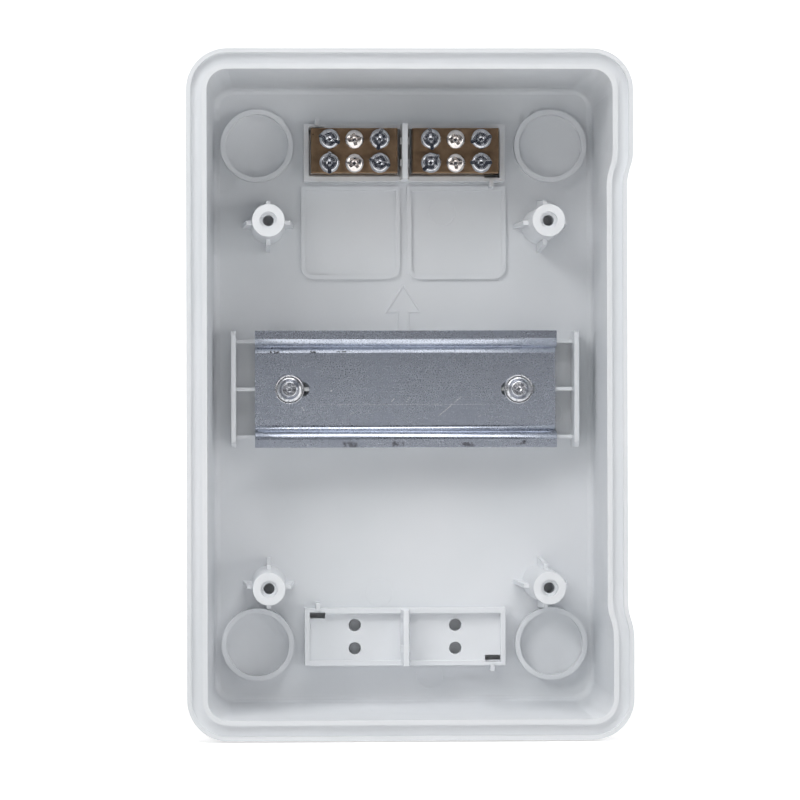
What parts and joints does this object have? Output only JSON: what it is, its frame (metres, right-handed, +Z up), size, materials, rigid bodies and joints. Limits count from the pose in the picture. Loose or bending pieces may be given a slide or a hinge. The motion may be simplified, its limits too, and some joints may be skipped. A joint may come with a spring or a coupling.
{
  "type": "electrical distribution box",
  "caption": "Open rectangular plastic box base with a sealing groove, a top-hat rail, cover-screw bosses, round collars and clip-in terminal holders with brass bars.",
  "frame": {"origin": "centre of the flat back, which goes against the wall", "axes": "+Z up the box, +Y into the wall, +X to the right seen from the front"},
  "size_m": [0.1296, 0.058, 0.2004],
  "materials": {
    "housing_plastic": "satin moulded",
    "holder_plastic": "satin moulded",
    "zinc_plated_rail": "zinc plated",
    "plated_steel_screws": "plated",
    "brass": "dull, turned brown"
  },
  "bodies": {
    "housing": {"base_housing": "housing_plastic", "din_rail": "zinc_plated_rail", "rail_screw_left": "plated_steel_screws", "rail_screw_right": "plated_steel_screws", "upper_terminal_holder": "holder_plastic", "lower_terminal_holder": "holder_plastic", "left_brass_bar": "brass", "right_brass_bar": "brass", "left_bar_fixing_screw_top": "plated_steel_screws", "left_bar_fixing_screw_bottom": "plated_steel_screws", "right_bar_fixing_screw_top": "plated_steel_screws", "right_bar_fixing_screw_bottom": "plated_steel_screws"},
    "left_bar_clamp_screw_outer_top": {"left_bar_clamp_screw_outer_top": "plated_steel_screws"},
    "left_bar_clamp_screw_outer_bottom": {"left_bar_clamp_screw_outer_bottom": "plated_steel_screws"},
    "left_bar_clamp_screw_inner_top": {"left_bar_clamp_screw_inner_top": "plated_steel_screws"},
    "left_bar_clamp_screw_inner_bottom": {"left_bar_clamp_screw_inner_bottom": "plated_steel_screws"},
    "right_bar_clamp_screw_outer_top": {"right_bar_clamp_screw_outer_top": "plated_steel_screws"},
    "right_bar_clamp_screw_outer_bottom": {"right_bar_clamp_screw_outer_bottom": "plated_steel_screws"},
    "right_bar_clamp_screw_inner_top": {"right_bar_clamp_screw_inner_top": "plated_steel_screws"},
    "right_bar_clamp_screw_inner_bottom": {"right_bar_clamp_screw_inner_bottom": "plated_steel_screws"}
  },
  "joints": [
    {"name": "left_bar_clamp_screw_outer_top_travel", "type": "slide", "parent": "housing", "child": "left_bar_clamp_screw_outer_top", "axis": [0, -1, 0], "range_m": [-0.00195, 0.0015]},
    {"name": "left_bar_clamp_screw_outer_bottom_travel", "type": "slide", "parent": "housing", "child": "left_bar_clamp_screw_outer_bottom", "axis": [0, -1, 0], "range_m": [-0.00195, 0.0015]},
    {"name": "left_bar_clamp_screw_inner_top_travel", "type": "slide", "parent": "housing", "child": "left_bar_clamp_screw_inner_top", "axis": [0, -1, 0], "range_m": [-0.00195, 0.0015]},
    {"name": "left_bar_clamp_screw_inner_bottom_travel", "type": "slide", "parent": "housing", "child": "left_bar_clamp_screw_inner_bottom", "axis": [0, -1, 0], "range_m": [-0.00195, 0.0015]},
    {"name": "right_bar_clamp_screw_outer_top_travel", "type": "slide", "parent": "housing", "child": "right_bar_clamp_screw_outer_top", "axis": [0, -1, 0], "range_m": [-0.00195, 0.0015]},
    {"name": "right_bar_clamp_screw_outer_bottom_travel", "type": "slide", "parent": "housing", "child": "right_bar_clamp_screw_outer_bottom", "axis": [0, -1, 0], "range_m": [-0.00195, 0.0015]},
    {"name": "right_bar_clamp_screw_inner_top_travel", "type": "slide", "parent": "housing", "child": "right_bar_clamp_screw_inner_top", "axis": [0, -1, 0], "range_m": [-0.00195, 0.0015]},
    {"name": "right_bar_clamp_screw_inner_bottom_travel", "type": "slide", "parent": "housing", "child": "right_bar_clamp_screw_inner_bottom", "axis": [0, -1, 0], "range_m": [-0.00195, 0.0015]}
  ]
}
